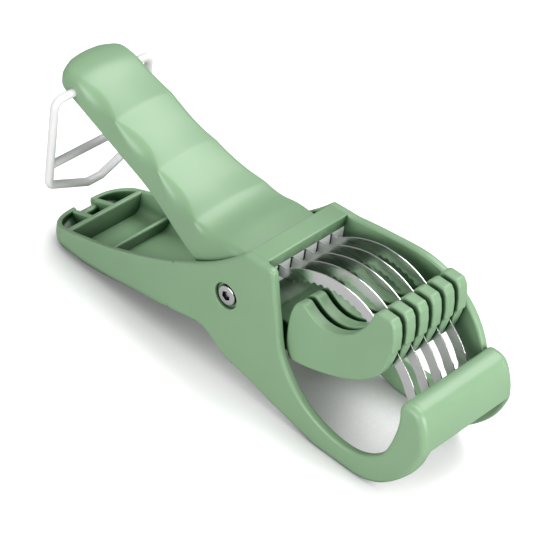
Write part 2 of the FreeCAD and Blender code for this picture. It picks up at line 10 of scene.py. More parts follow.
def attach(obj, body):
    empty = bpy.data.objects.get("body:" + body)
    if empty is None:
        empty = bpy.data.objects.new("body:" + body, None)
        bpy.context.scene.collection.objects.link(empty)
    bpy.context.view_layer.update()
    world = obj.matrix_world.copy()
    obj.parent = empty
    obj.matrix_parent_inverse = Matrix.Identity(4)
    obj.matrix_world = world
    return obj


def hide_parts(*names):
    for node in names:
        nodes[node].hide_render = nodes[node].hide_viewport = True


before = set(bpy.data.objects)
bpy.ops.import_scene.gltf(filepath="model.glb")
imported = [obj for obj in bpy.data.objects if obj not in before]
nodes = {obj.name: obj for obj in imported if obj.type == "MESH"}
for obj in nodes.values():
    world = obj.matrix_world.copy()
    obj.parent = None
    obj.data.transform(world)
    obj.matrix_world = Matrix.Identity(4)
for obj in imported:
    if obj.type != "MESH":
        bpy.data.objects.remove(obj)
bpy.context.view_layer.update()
mm = 0.001

# sizes that several pieces share, in millimetres
middleShift = 2.75                    # in x, from the outlines as drawn to the frame's origin
pivotX, pivotZ = 1.0, 43.0            # the hinge line runs along y; this is before the shift
plateInner, plateOuter = 24.0, 28.0   # the two faces of each side plate, in y
bladeLevels = (-16, -8, 0, 8, 16)     # the middle of each blade, in y
sharpEdge = 0.01                      # edge radius where one frame piece runs into the next
print("frame loaded:", len(nodes), "nodes")


def curveThrough(points, spacing=0.8, closed=False):
    # a cubic through the points: each span is a Hermite blend of its ends, and the slope at a
    # point is that of the parabola through it and its two neighbours
    p = np.array(points, float)
    if closed:
        p = np.vstack([p[-2:], p, p[:3]])
    chord = np.linalg.norm(np.diff(p, axis=0), axis=1)
    t = np.concatenate([[0], np.cumsum(np.sqrt(chord) * np.sqrt(chord.mean()))])
    slope = np.diff(p, axis=0) / np.diff(t)[:, None]
    h = np.diff(t)[:, None]
    tangent = np.vstack([slope[:1], (slope[:-1] * h[1:] + slope[1:] * h[:-1]) / (h[1:] + h[:-1]),
                         slope[-1:]])
    tangent[0] = 2 * slope[0] - tangent[1]
    tangent[-1] = 2 * slope[-1] - tangent[-2]
    low, high = (t[2], t[len(p) - 3]) if closed else (t[0], t[-1])
    count = max(int(chord.sum() / spacing), 4)
    u = np.linspace(low, high, count + 1)
    if closed:
        u = u[:-1]
    i = np.clip(np.searchsorted(t, u, side="right") - 1, 0, len(t) - 2)
    s = ((u - t[i]) / (t[i + 1] - t[i]))[:, None]
    width = (t[i + 1] - t[i])[:, None]
    return ((2 * s**3 - 3 * s**2 + 1) * p[i] + (s**3 - 2 * s**2 + s) * width * tangent[i]
            + (3 * s**2 - 2 * s**3) * p[i + 1] + (s**3 - s**2) * width * tangent[i + 1])


def evenLoop(points, spacing=0.8, ease=1.0):
    # the closed line through all the points at one even step, its corners eased by averaging
    # each point with its neighbours up to the distance ease
    p = np.array(points, float)
    p = np.vstack([p, p[:1]])
    step = np.linalg.norm(np.diff(p, axis=0), axis=1)
    keep = np.concatenate([[True], step > 1e-6])
    p = p[keep]
    run = np.concatenate([[0], np.cumsum(np.linalg.norm(np.diff(p, axis=0), axis=1))])
    count = int(run[-1] / spacing)
    at = np.linspace(0, run[-1], count, endpoint=False)
    loop = np.stack([np.interp(at, run, p[:, k]) for k in range(p.shape[1])], 1)
    reach = int(round(ease / spacing))
    if reach > 0:
        weight = np.hanning(2 * reach + 3)[1:-1]
        weight /= weight.sum()
        loop = sum(w * np.roll(loop, k, axis=0)
                   for w, k in zip(weight, range(-reach, reach + 1)))
    return loop


def joined(*lines):
    # several lines end to end as one list of points
    return np.vstack([np.array(line, float) for line in lines])


def inwardNormals(loop):
    # the unit vectors square to a closed line, pointing to its inside
    along = np.roll(loop, -1, axis=0) - np.roll(loop, 1, axis=0)
    along /= np.maximum(np.linalg.norm(along, axis=1), 1e-9)[:, None]
    x, z = loop[:, 0], loop[:, 1]
    area = 0.5 * np.sum(x * np.roll(z, -1) - z * np.roll(x, -1))
    side = 1.0 if area > 0 else -1.0
    return np.stack([-along[:, 1], along[:, 0]], 1) * side


def asTuples(blocks):
    # arrays of faces as one list of tuples
    return [tuple(int(v) for v in face) for block in blocks for face in block]


def circle(radius, around):
    # a closed round line about the pivot
    angle = np.linspace(0, 2 * math.pi, around, endpoint=False)
    return np.stack([pivotX + radius * np.cos(angle), pivotZ + radius * np.sin(angle)], 1)


def ringFaces(first, second, size):
    # quads between two rings of the same size, given the number of each ring's first point
    i = np.arange(size)
    j = (i + 1) % size
    return np.stack([first + i, first + j, second + j, second + i], 1)


def gridFaces(rows, columns):
    # quads of a grid of points stored row by row
    r, c = np.meshgrid(np.arange(rows - 1), np.arange(columns - 1), indexing="ij")
    a = (r * columns + c).ravel()
    return np.stack([a, a + 1, a + columns + 1, a + columns], 1)


def roundedSlab(loops, low, high, roundLow=1.0, roundHigh=1.0, steps=5, support=0.25):
    # a plate between two levels: around each closed line the wall turns into both faces on a
    # quarter circle (inset r - r sin a, level r - r cos a), and the faces are filled between the
    # innermost rings; the first line is the outside and the rest are holes, and a list of radii
    # gives each line its own
    points, faces = [], []
    caps = {"low": [], "high": []}
    count = 0
    angles = np.linspace(0, math.pi / 2, steps + 1)
    for number, loop in enumerate(np.asarray(line, float) for line in loops):
        size = len(loop)
        inward = inwardNormals(loop) * (1.0 if number == 0 else -1.0)
        rLow = roundLow[number] if isinstance(roundLow, list) else roundLow
        rHigh = roundHigh[number] if isinstance(roundHigh, list) else roundHigh
        rLow = np.broadcast_to(np.asarray(rLow, float), (size,))[:, None]
        rHigh = np.broadcast_to(np.asarray(rHigh, float), (size,))[:, None]
        rings = [(rLow + support, low + 0 * rLow)]
        rings += [(rLow * (1 - math.sin(a)), low + rLow * (1 - math.cos(a))) for a in angles]
        rings += [(rHigh * (1 - math.sin(a)), high - rHigh * (1 - math.cos(a)))
                  for a in angles[::-1]]
        rings += [(rHigh + support, high + 0 * rHigh)]
        for inset, level in rings:
            flat = loop + inward * inset
            points.append(np.stack([flat[:, 0], level[:, 0], flat[:, 1]], 1))
        starts = count + size * np.arange(len(rings))
        faces += [ringFaces(a, b, size) for a, b in zip(starts, starts[1:])]
        caps["low"].append((starts[0], points[-len(rings)]))
        caps["high"].append((starts[-1], points[-1]))
        count += size * len(rings)
    allFaces = asTuples(faces)
    for parts in caps.values():
        numbers = np.concatenate([start + np.arange(len(ring)) for start, ring in parts])
        rings = [[Vector((p[0], p[2], 0)) for p in ring] for _, ring in parts]
        allFaces += [tuple(int(numbers[k]) for k in tri) for tri in tessellate_polygon(rings)]
    return np.vstack(points), allFaces


def acrossSlab(loop, x0, x1, edge, steps=5, support=0.25):
    # the same plate standing across the object: its outline is in y and z, its levels are in x
    cloud, faces = roundedSlab([loop], x0, x1, edge, edge, steps, support)
    return cloud[:, [1, 0, 2]], faces


def mergedParts(parts):
    # several point clouds with their faces as one
    clouds, faces, start = [], [], 0
    for cloud, partFaces in parts:
        clouds.append(cloud)
        faces += [tuple(int(v) + start for v in face) for face in partFaces]
        start += len(cloud)
    return np.vstack(clouds), faces


def makeMesh(name, cloud, faces):
    # a Blender object from points in millimetres, welded and with its faces turned outwards
    mesh = bpy.data.meshes.new(name)
    placed = (np.asarray(cloud, float) + (middleShift, 0, 0)) * mm
    mesh.from_pydata(placed.tolist(), [], [tuple(map(int, f)) for f in faces])
    obj = bpy.data.objects.new(name, mesh)
    bpy.context.scene.collection.objects.link(obj)
    work = bmesh.new()
    work.from_mesh(mesh)
    bmesh.ops.remove_doubles(work, verts=work.verts, dist=0.01 * mm)
    bmesh.ops.dissolve_degenerate(work, edges=work.edges, dist=0.0001 * mm)
    bmesh.ops.recalc_face_normals(work, faces=work.faces)
    work.to_mesh(mesh)
    work.free()
    mesh.polygons.foreach_set("use_smooth", [True] * len(mesh.polygons))
    mesh.update()
    return obj


def applyModifiers(obj):
    # works the modifiers into the object's own mesh
    graph = bpy.context.evaluated_depsgraph_get()
    graph.update()
    done = bpy.data.meshes.new_from_object(obj.evaluated_get(graph))
    old = obj.data
    obj.modifiers.clear()
    obj.data = done
    bpy.data.meshes.remove(old)
    obj.data.polygons.foreach_set("use_smooth", [True] * len(obj.data.polygons))


def carve(obj, cutter):
    # cuts one closed piece out of another
    boolean = obj.modifiers.new("cut", "BOOLEAN")
    boolean.operation = "DIFFERENCE"
    boolean.solver = "EXACT"
    boolean.object = cutter
    applyModifiers(obj)
    bpy.data.objects.remove(cutter)


def place(obj, body, slotName, material, *replaced):
    # gives a finished piece its finish, its body and the CAD nodes it stands for
    obj.data.materials.clear()
    obj.data.materials.append(material)
    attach(obj, body)
    if replaced:
        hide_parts(*replaced)
    return obj


def tubeAlong(path, radius, around=28):
    # a round tube: the ring at each point lies in the plane square to the path, and its first
    # direction is carried from ring to ring so that the tube doesn't twist
    p = np.array(path, float)
    along = np.gradient(p, axis=0)
    along /= np.linalg.norm(along, axis=1)[:, None]
    side = np.cross(along[0], [0.3, 0.5, 0.8])
    sides = []
    for direction in along:
        side = side - direction * np.dot(side, direction)
        side = side / np.linalg.norm(side)
        sides.append(side)
    sides = np.array(sides)
    up = np.cross(along, sides)
    angle = np.linspace(0, 2 * math.pi, around, endpoint=False)
    rings = (p[:, None, :] + radius * (np.cos(angle)[None, :, None] * sides[:, None, :]
                                       + np.sin(angle)[None, :, None] * up[:, None, :]))
    faces = asTuples([ringFaces(i * around, (i + 1) * around, around)
                      for i in range(len(p) - 1)])
    faces.append(tuple(range(around))[::-1])
    faces.append(tuple(range((len(p) - 1) * around, len(p) * around)))
    return rings.reshape(-1, 3), faces


def roundedPath(corners, bend, spacing=0.6):
    # straight runs joined by arcs of one bend radius
    c = np.array(corners, float)
    line = [c[0]]
    for before, corner, after in zip(c, c[1:], c[2:]):
        back = (before - corner) / np.linalg.norm(before - corner)
        ahead = (after - corner) / np.linalg.norm(after - corner)
        half = math.acos(np.clip(np.dot(back, ahead), -1, 1)) / 2
        reach = bend / math.tan(half)
        middle = (back + ahead) / np.linalg.norm(back + ahead)
        centre = corner + middle * bend / math.sin(half)
        start, end = corner + back * reach, corner + ahead * reach
        a, b = start - centre, end - centre
        sweep = math.pi - 2 * half
        share = np.linspace(0, 1, max(int(sweep * bend / spacing), 6))[:, None]
        arc = (np.sin((1 - share) * sweep) * a + np.sin(share * sweep) * b) / math.sin(sweep)
        line += list(centre + arc)
    line.append(c[-1])
    line = np.array(line)
    run = np.concatenate([[0], np.cumsum(np.linalg.norm(np.diff(line, axis=0), axis=1))])
    at = np.linspace(0, run[-1], int(run[-1] / spacing) + 1)
    return np.stack([np.interp(at, run, line[:, k]) for k in range(3)], 1)


def spoonShell(path, spine, edgeLevel, level, corner, wall, up, rows=(6, 8, 16)):
    # a shell with an open side: from each point of the rim path the wall goes straight to the
    # shoulder, turns on a quarter circle and runs on to the spine; the inner skin is the same a
    # wall's thickness further in, and half of a superellipse joins the two round the rim
    rimRows, rimPower, leastCorner = 11, 0.6, 0.6
    toSpine = spine - path
    span = np.linalg.norm(toSpine, axis=1)
    inward = toSpine / np.maximum(span, 1e-9)[:, None]
    sign = 1.0 if up else -1.0
    wallRows, arcRows, flatRows = rows

    def row(flat, drop):
        return np.column_stack([flat, level(flat[:, 0], flat[:, 1]) - sign * drop])

    def skin(inset):
        base = path + inward * inset
        left = span - inset
        radius = np.maximum(corner - inset, leastCorner)
        shoulder = level(base[:, 0], base[:, 1]) - sign * (inset + radius)
        lines = [np.column_stack([base, edgeLevel + (shoulder - edgeLevel) * share])
                 for share in np.linspace(0, 1, wallRows, endpoint=False)]
        for a in np.linspace(0, math.pi / 2, arcRows, endpoint=False):
            flat = base + inward * (radius * (1 - math.cos(a)))[:, None]
            lines.append(row(flat, inset + radius * (1 - math.sin(a))))
        for share in np.linspace(0, 1, flatRows):
            reach = radius + (left - radius) * share
            lines.append(row(base + inward * reach[:, None], inset))
        return lines

    rim = []
    for a in np.linspace(0, math.pi, rimRows + 2)[1:-1]:
        across = 1 - math.copysign(abs(math.cos(a)) ** rimPower, math.cos(a))
        rim.append(np.column_stack([path + inward * (wall / 2 * across),
                                    edgeLevel - sign * wall / 2 * math.sin(a) ** rimPower]))
    lines = skin(0.0)[::-1] + rim + skin(wall)
    columns = len(path)
    faces = asTuples([gridFaces(len(lines), columns)])
    faces.append(tuple(k * columns for k in range(len(lines))))
    faces.append(tuple(k * columns + columns - 1 for k in range(len(lines)))[::-1])
    return np.vstack(lines), faces


def newMaterial(name):
    # a material with its shader and the object coordinates that its patterns read
    material = bpy.data.materials.new(name)
    material.use_nodes = True
    tree = material.node_tree
    coordinates = tree.nodes.new("ShaderNodeTexCoord")
    return material, tree, tree.nodes["Principled BSDF"], coordinates.outputs["Object"]


def noise(tree, source, scale, detail=2.0, stretch=(1, 1, 1)):
    # a noise of this scale, drawn out along an axis whose stretch is below 1
    mapping = tree.nodes.new("ShaderNodeMapping")
    mapping.inputs["Scale"].default_value = stretch
    tree.links.new(source, mapping.inputs["Vector"])
    texture = tree.nodes.new("ShaderNodeTexNoise")
    texture.inputs["Scale"].default_value = scale
    texture.inputs["Detail"].default_value = detail
    tree.links.new(mapping.outputs["Vector"], texture.inputs["Vector"])
    return texture.outputs["Fac"]


def remapped(tree, source, low, high, toLow=0.0, toHigh=1.0):
    # a straight line through (low, toLow) and (high, toHigh), level outside them
    node = tree.nodes.new("ShaderNodeMapRange")
    node.inputs["From Min"].default_value = low
    node.inputs["From Max"].default_value = high
    node.inputs["To Min"].default_value = toLow
    node.inputs["To Max"].default_value = toHigh
    tree.links.new(source, node.inputs["Value"])
    return node.outputs["Result"]


def mixed(tree, share, first, second):
    # a blend of two colours, each given as numbers or as another node's output
    node = tree.nodes.new("ShaderNodeMix")
    node.data_type = "RGBA"
    for slot, colour in (("A", first), ("B", second)):
        if isinstance(colour, tuple):
            node.inputs[slot].default_value = (*colour, 1)
        else:
            tree.links.new(colour, node.inputs[slot])
    tree.links.new(share, node.inputs["Factor"])
    return node.outputs["Result"]


def openness(tree, distance, low, high):
    # 0 in a deep hollow and 1 in the open: the share of rays of this length that hit nothing
    hollow = tree.nodes.new("ShaderNodeAmbientOcclusion")
    hollow.samples = 12
    hollow.inputs["Distance"].default_value = distance
    return remapped(tree, hollow.outputs["AO"], low, high)


def finish(name, look):
    # the base colour is a noise blend of two tones, with painted shade darkening it in hollows where
    # the look says so; a grain, or that same noise, sets the roughness and the bump
    noiseLow, noiseHigh = 0.3, 0.7
    material, tree, shader, at = newMaterial(name)
    cloudy = noise(tree, at, *look["cloud"])
    grain = noise(tree, at, *look["grain"]) if "grain" in look else cloudy
    base = mixed(tree, remapped(tree, cloudy, noiseLow, noiseHigh), *look["tones"])
    # painted shade: where the occlusion finds a hollow, the colour turns to the look's dark shade
    # colour
    if "hollow" in look:
        base = mixed(tree, openness(tree, *look["hollowReach"]), look["hollow"], base)
    tree.links.new(base, shader.inputs["Base Color"])
    tree.links.new(remapped(tree, grain, noiseLow, noiseHigh, *look["roughness"]),
                   shader.inputs["Roughness"])
    if "bump" in look:
        bump = tree.nodes.new("ShaderNodeBump")
        bump.inputs["Strength"].default_value, bump.inputs["Distance"].default_value = look["bump"]
        tree.links.new(grain, bump.inputs["Height"])
        tree.links.new(bump.outputs["Normal"], shader.inputs["Normal"])
    for socket, value in look.get("sockets", {}).items():
        shader.inputs[socket].default_value = value
    return material


def greenPlastic():
    # satin moulding in pastel green, faintly cloudy, with a fine moulded grain; painted shade turns
    # it dark green in its hollows
    look = {"cloud": (18, 3), "tones": ((0.208, 0.343, 0.200), (0.232, 0.378, 0.222)),
            "hollow": (0.010, 0.060, 0.016), "hollowReach": (0.03, 0.22, 0.54),
            "grain": (2600, 2), "roughness": (0.30, 0.38), "bump": (0.10, 0.00008),
            "sockets": {"Subsurface Weight": 0.08, "Subsurface Radius": (0.6, 1.0, 0.6),
                        "Subsurface Scale": 0.0015, "IOR": 1.49}}
    return finish("sageGreenPlastic", look)


def whiteCoating():
    # the smooth dip coating of the bail's wire
    look = {"cloud": (60, 2), "tones": ((0.72, 0.72, 0.72), (0.75, 0.75, 0.75)),
            "grain": (1800, 2), "roughness": (0.28, 0.36), "bump": (0.15, 0.00005),
            "sockets": {"Subsurface Weight": 0.15, "Subsurface Scale": 0.001}}
    return finish("whiteWireCoating", look)


def bladeSteel():
    # rolled strip: fine streaks along its length; painted shade, dark and greenish, where it lies in
    # a hollow
    look = {"cloud": (900, 3, (0.12, 1, 1)), "tones": ((0.84, 0.84, 0.84), (0.90, 0.90, 0.90)),
            "hollow": (0.06, 0.11, 0.07), "hollowReach": (0.012, 0.15, 0.5),
            "roughness": (0.16, 0.26), "bump": (0.08, 0.00003), "sockets": {"Metallic": 1.0}}
    return finish("rolledBladeSteel", look)


def screwSteel():
    # bright plating, turned black down in the recess by painted shade
    look = {"cloud": (1500, 2), "tones": ((0.70, 0.70, 0.70), (0.80, 0.80, 0.80)),
            "hollow": (0.02, 0.02, 0.02), "hollowReach": (0.004, 0.5, 0.88),
            "roughness": (0.18, 0.28), "bump": (0.08, 0.00003), "sockets": {"Metallic": 1.0}}
    return finish("platedScrewSteel", look)


def springSteel():
    # drawn wire, darker than the plated pieces
    look = {"cloud": (2200, 2, (1, 0.2, 1)), "tones": ((0.42, 0.42, 0.43), (0.58, 0.58, 0.58)),
            "roughness": (0.28, 0.4), "sockets": {"Metallic": 1.0}}
    return finish("drawnSpringWire", look)


def washerNylon():
    # natural nylon, matt
    look = {"cloud": (120, 2), "tones": ((0.70, 0.69, 0.64), (0.78, 0.77, 0.72)),
            "roughness": (0.42, 0.5)}
    return finish("naturalNylon", look)


def tabSteel():
    # the bent strip is duller than the blades: a fine satin grain that scatters the light
    look = {"cloud": (1400, 3, (1, 0.25, 1)), "tones": ((0.86, 0.86, 0.87), (0.92, 0.92, 0.92)),
            "roughness": (0.34, 0.46), "bump": (0.1, 0.00004), "sockets": {"Metallic": 0.1}}
    return finish("satinTabSteel", look)


green, white = greenPlastic(), whiteCoating()
blades, tabs, bright = bladeSteel(), tabSteel(), screwSteel()
print("finishes made")


def turned(profile, around=96):
    # a ring about the pivot line: every point (radius, y) of the closed profile is carried
    # round the circle
    p = np.array(profile, float)
    angle = np.linspace(0, 2 * math.pi, around, endpoint=False)
    cloud = np.stack([pivotX + p[:, :1] * np.cos(angle), p[:, 1:] + 0 * angle,
                      pivotZ + p[:, :1] * np.sin(angle)], 2).reshape(-1, 3)
    starts = around * np.arange(len(p))
    return cloud, asTuples([ringFaces(a, b, around) for a, b in zip(starts, np.roll(starts, -1))])


def roundedBar(r0, r1, y0, y1, edge, steps=4):
    # the profile of a turned ring: a rectangle with quarter circles at its corners
    line = []
    for cx, cy, start in ((r1 - edge, y1 - edge, 0), (r0 + edge, y1 - edge, 90),
                          (r0 + edge, y0 + edge, 180), (r1 - edge, y0 + edge, 270)):
        for a in np.radians(np.linspace(start, start + 90, steps + 1)):
            line.append((cx + edge * math.cos(a), cy + edge * math.sin(a)))
    return line


def crispEdges(obj, degrees=32):
    # smooth shading up to this angle between faces, and a clean edge above it
    obj.data.set_sharp_from_angle(angle=math.radians(degrees))
    return obj


def valueAlong(points):
    # a smooth function of x through the points (x, value)
    line = curveThrough(points, 0.5)
    return lambda x: np.interp(x, line[:, 0], line[:, 1])


def smoothStep(value, low, high):
    # 0 below low and 1 above high, with s s (3 - 2 s) between them
    share = np.clip((value - low) / (high - low), 0, 1)
    return share * share * (3 - 2 * share)


def hullShell():
    # the boat: a spoon shell whose rim, floor and corner radius are each a smooth curve along
    # its length, with a square notch cut through the tail
    look = {"wall": 2.5, "tailSpine": -97.0, "leastFloor": 0.02, "crisp": 40,
            "notchHalf": 5.4, "notchFloor": 4.2, "notchTop": 20.0, "notchX": (-113.0, -98.6)}
    side = [(-110.3, -9.0), (-109.1, -14.6), (-106.2, -19.4), (-101.0, -22.8), (-95.0, -23.9),
            (-86.0, -24.6), (-70.0, -25.7), (-50.0, -27.0), (-36.0, -27.86), (-29.5, -27.985)]
    path = curveThrough(side[::-1] + [(x, -y) for x, y in side], 0.8)
    rim = valueAlong([(-112.0, 8.6), (-108.6, 9.6), (-105.5, 10.5), (-101.0, 12.0), (-95.0, 13.8),
                      (-86.0, 16.7), (-70.0, 22.4), (-50.0, 31.2), (-30.0, 41.3), (-20.0, 46.6)])
    floorLine = valueAlong([(-112.0, 7.4), (-110.3, 5.6), (-108.6, 3.9), (-105.5, 2.0),
                            (-101.0, 0.5), (-95.0, 0.0), (-86.0, 0.1), (-70.0, 3.1),
                            (-50.0, 9.0), (-30.0, 15.2), (-20.0, 19.2)])
    cornerLine = valueAlong([(-112.0, 1.0), (-108.6, 2.2), (-105.5, 3.6), (-101.0, 5.0),
                             (-95.0, 6.5), (-86.0, 7.0), (-70.0, 7.0), (-50.0, 5.5),
                             (-30.0, 3.0), (-20.0, 3.0)])

    def level(x, y):
        return np.maximum(floorLine(x), look["leastFloor"])

    spine = np.stack([np.maximum(path[:, 0], look["tailSpine"]), 0 * path[:, 0]], 1)
    cloud, faces = spoonShell(path, spine, rim(path[:, 0]) - look["wall"] / 2, level,
                              cornerLine(path[:, 0]), look["wall"], False)
    hull = makeMesh("hullShell", cloud, faces)
    (x0, x1), low, high = look["notchX"], look["notchFloor"], look["notchTop"]
    notch = roundedSlab([evenLoop([(x0, low), (x1, low), (x1, high), (x0, high)], 0.5, 0.8)],
                        -look["notchHalf"], look["notchHalf"], 0.1, 0.1, 2)
    carve(hull, makeMesh("notchCutter", *notch))
    crispEdges(hull, look["crisp"])
    return place(hull, "frame", "green_plastic", green)


def hullRibs():
    # stop rib, low rib and the two pocket sides; each runs a little way into the shell around it
    look = {"edge": 0.9, "pocketEdge": 0.8, "pocketThick": 2.5, "pocketY": (-7.9, 5.4),
            "humpHalf": 5.6, "humpEdge": 0.3}
    across = ({"x": (-97.3, -94.8), "top": 13.5, "half": 22.6, "corner": 5.2, "low": 1.1},
              {"x": (-79.2, -77.2), "top": 10.0, "half": 23.7, "corner": 5.8, "low": 2.2})
    parts = []
    for rib in across:
        half, corner = rib["half"], rib["corner"]
        angle = np.linspace(0, math.pi / 2, 10)
        bend = np.stack([half - corner + corner * np.cos(angle),
                         rib["low"] + corner - corner * np.sin(angle)], 1)
        outline = joined([(-half, rib["top"]), (half, rib["top"])], bend, bend[::-1] * (-1, 1))
        parts.append(acrossSlab(evenLoop(outline, 0.6, 0.0), *rib["x"], look["edge"]))
    pocket = evenLoop([(-109.0, 6.4), (-109.0, 8.6), (-105.5, 9.9), (-101.0, 11.4), (-98.0, 12.3),
                       (-95.6, 12.5), (-95.6, 1.2), (-101.0, 1.8), (-105.5, 3.3)], 0.5, 0.6)
    for y in look["pocketY"]:
        parts.append(roundedSlab([pocket], y, y + look["pocketThick"], look["pocketEdge"],
                                 look["pocketEdge"]))
    hump = evenLoop([(-108.9, 4.6), (-108.4, 6.6), (-106.8, 7.4), (-105.2, 6.6), (-104.6, 3.4),
                     (-106.5, 3.2)], 0.4, 0.8)
    parts.append(roundedSlab([hump], -look["humpHalf"], look["humpHalf"], look["humpEdge"],
                             look["humpEdge"]))
    return place(makeMesh("hullRibs", *mergedParts(parts)), "frame", "green_plastic", green)


# the outline that both side plates share, clockwise from the rear of the rim
rimLine = [(-32.6, 39.3), (-30.0, 41.3), (-15.0, 49.8), (-4.0, 58.0), (7.5, 69.6)]
noseLine = [(111.4, 33.6), (107.6, 22.2), (101.0, 12.6), (90.5, 3.4), (79.0, 0.03)]
bellyLine = [(57.0, 0.03), (45.9, 2.55), (30.0, 6.15), (16.2, 9.65), (5.2, 11.75), (1.1, 13.45),
             (-4.2, 16.75), (-8.2, 18.75), (-12.5, 19.45), (-20.0, 17.65), (-30.0, 15.25),
             (-32.6, 16.4)]
barLine = [(95.4, 48.2), (97.0, 51.0), (101.0, 51.6), (105.4, 50.0), (109.0, 44.0),
           (111.4, 33.6)]


def plateLoop(top):
    # one closed line: the rim, the plate's own top, the crossbar's arc, the nose and the belly
    return evenLoop(joined(curveThrough(rimLine), top, curveThrough(barLine)[1:],
                           curveThrough(noseLine)[1:], curveThrough(bellyLine)), 0.7, 0.8)


def plateRounds(loop):
    # edge radii round a plate: none where the bridge and the crossbar run on from it, large at
    # the nose, the hull's own corner at the rear of the belly
    look = {"least": 0.02, "inner": 1.2, "outer": 1.5, "nose": 1.5, "rear": 1.4}
    x, z = loop[:, 0], loop[:, 1]
    bridge = smoothStep(x, 5.6, 7.0) * (1 - smoothStep(x, 17.4, 18.6)) * smoothStep(z, 66, 68)
    bar = smoothStep(x, 94.6, 95.3) * smoothStep(z, 32.4, 33.6)
    nose = smoothStep(x, 94, 99) * smoothStep(z, 6, 26)
    rear = (1 - smoothStep(x, -30, -12)) * (1 - smoothStep(z, 24, 28))
    inner = look["inner"] * (1 - bridge) * (1 - bar)
    return np.maximum(inner, look["least"]), look["outer"] + look["nose"] * nose + look["rear"] * rear


def sidePlate(name, top, side, openings=()):
    # a rounded slab between the plate's two faces with a round seat for a screw head, and a
    # ring that is the seat's floor; the larger radii are on the outer face
    look = {"seat": 6.1, "seatEdge": 0.45, "least": 0.02, "bore": 3.08, "floorOver": 6.2,
            "floorDepth": 2.0, "floorGap": 0.03, "around": 72, "crisp": 50}
    loop = plateLoop(top)
    inner, outer = plateRounds(loop)
    lines = [(loop, inner, outer)] + list(openings)
    lines.append((circle(look["seat"], look["around"]), look["least"], look["seatEdge"]))
    loops = [line for line, _, _ in lines]
    innerRounds = [rounds for _, rounds, _ in lines]
    outerRounds = [rounds for _, _, rounds in lines]
    inside, outside = plateInner + look["floorGap"], plateOuter - look["floorDepth"]
    if side < 0:
        slab = roundedSlab(loops, -plateOuter, -plateInner, outerRounds, innerRounds)
        levels = (-outside, -inside)
    else:
        slab = roundedSlab(loops, plateInner, plateOuter, innerRounds, outerRounds)
        levels = (inside, outside)
    floor = turned(roundedBar(look["bore"], look["floorOver"], *levels, look["least"], 1),
                   look["around"])
    piece = makeMesh(name, *mergedParts([slab, floor]))
    return place(crispEdges(piece, look["crisp"]), "frame", "green_plastic", green)


def nearPlate():
    # the open C: its top ends in a rounded corner at the bridge and follows the C's inner curve
    corner = [(7.5, 69.6), (21.5, 70.4), (22.9, 70.1), (23.9, 69.0), (24.3, 67.4)]
    inside = curveThrough([(24.3, 67.4), (29.4, 48.1), (34.7, 31.3), (47.9, 17.2), (65.0, 10.8),
                           (80.0, 11.6), (91.0, 20.0), (95.6, 36.0), (95.4, 46.5)])
    return sidePlate("nearPlate", joined(corner, inside[1:]), -1)


def farPlate():
    # the closed arm: its top runs over the blades, and an oval window is let into it
    arch = curveThrough([(21.5, 70.4), (40.0, 73.3), (59.6, 75.0), (72.0, 72.2), (86.5, 62.5),
                         (95.4, 48.2)])
    window = curveThrough([(40.0, 34.0), (44.0, 43.0), (54.0, 49.5), (66.0, 50.0), (77.0, 45.6),
                           (84.6, 34.0), (83.0, 23.5), (74.5, 18.0), (58.5, 18.0),
                           (46.0, 22.5)], 0.7, True)
    return sidePlate("farPlate", joined([(7.5, 69.6), (21.5, 70.4)], arch[1:]), 1,
                     [(window, 1.2, 1.4)])


def bridgeBlock():
    # two bars across the frame, each an outline carried straight from plate to plate: the
    # bridge with its lip, and the shelf in front of the boat; two gate marks lie on the lip
    look = {"gateY": (-17.4, 9.6), "gateLong": 0.5, "gateEdge": 0.04, "crisp": 50}
    bridge = [(7.5, 69.6), (17.2, 70.15), (17.2, 64.2), (16.4, 64.2), (16.4, 54.6), (13.8, 54.6),
              (13.8, 63.0), (11.4, 66.4), (6.9, 66.4)]
    gate = [(17.1, 64.7), (17.28, 64.7), (17.28, 67.1), (17.1, 67.1)]
    shelf = [(-33.0, 14.4), (-30.0, 15.25), (-20.0, 17.65), (-12.05, 19.45), (-12.05, 31.0),
             (-14.45, 31.0), (-14.45, 21.85), (-20.0, 20.05), (-33.0, 16.9)]
    parts = [roundedSlab([evenLoop(bridge, 0.3, 0.45)], -plateInner, plateInner, sharpEdge,
                         sharpEdge, 1)]
    for y in look["gateY"]:
        parts.append(roundedSlab([gate], y, y + look["gateLong"], look["gateEdge"],
                                 look["gateEdge"], 2, 0.02))
    overlap = plateInner + 0.02
    parts.append(roundedSlab([evenLoop(shelf, 0.5, 0.6)], -overlap, overlap, sharpEdge,
                             sharpEdge, 1))
    piece = makeMesh("bridgeBlock", *mergedParts(parts))
    return place(crispEdges(piece, look["crisp"]), "frame", "green_plastic", green)


def crossbarShell():
    # the nose bar: an outline open below, carried from plate to plate, with a slot for the end
    # of every blade
    look = {"slotX": (93.5, 98.9), "slotZ": (34.5, 50.4), "slotHalf": 0.42, "crisp": 35}
    channel = [(109.0, 33.6), (106.6, 42.8), (104.0, 47.4), (101.5, 49.1), (97.9, 48.3),
               (97.9, 33.6), (95.4, 33.6)]
    loop = evenLoop(joined(curveThrough(barLine), channel, [(95.4, 47.0)]), 0.5, 0.5)
    bar = makeMesh("crossbarShell", *roundedSlab([loop], -plateInner, plateInner, sharpEdge,
                                                 sharpEdge, 1))
    (x0, x1), (z0, z1) = look["slotX"], look["slotZ"]
    box = evenLoop([(x0, z0), (x1, z0), (x1, z1), (x0, z1)], 1.0, 0.0)
    slots = [roundedSlab([box], y - look["slotHalf"], y + look["slotHalf"], 0.05, 0.05, 1, 0.05)
             for y in bladeLevels]
    carve(bar, makeMesh("slotCutters", *mergedParts(slots)))
    return place(crispEdges(bar, look["crisp"]), "frame", "green_plastic", green)


framePieces = [hullShell(), hullRibs(), nearPlate(), farPlate(), bridgeBlock(), crossbarShell()]
for piece in framePieces:
    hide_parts("frame_body")
print("frame pieces:", [len(piece.data.polygons) for piece in framePieces])


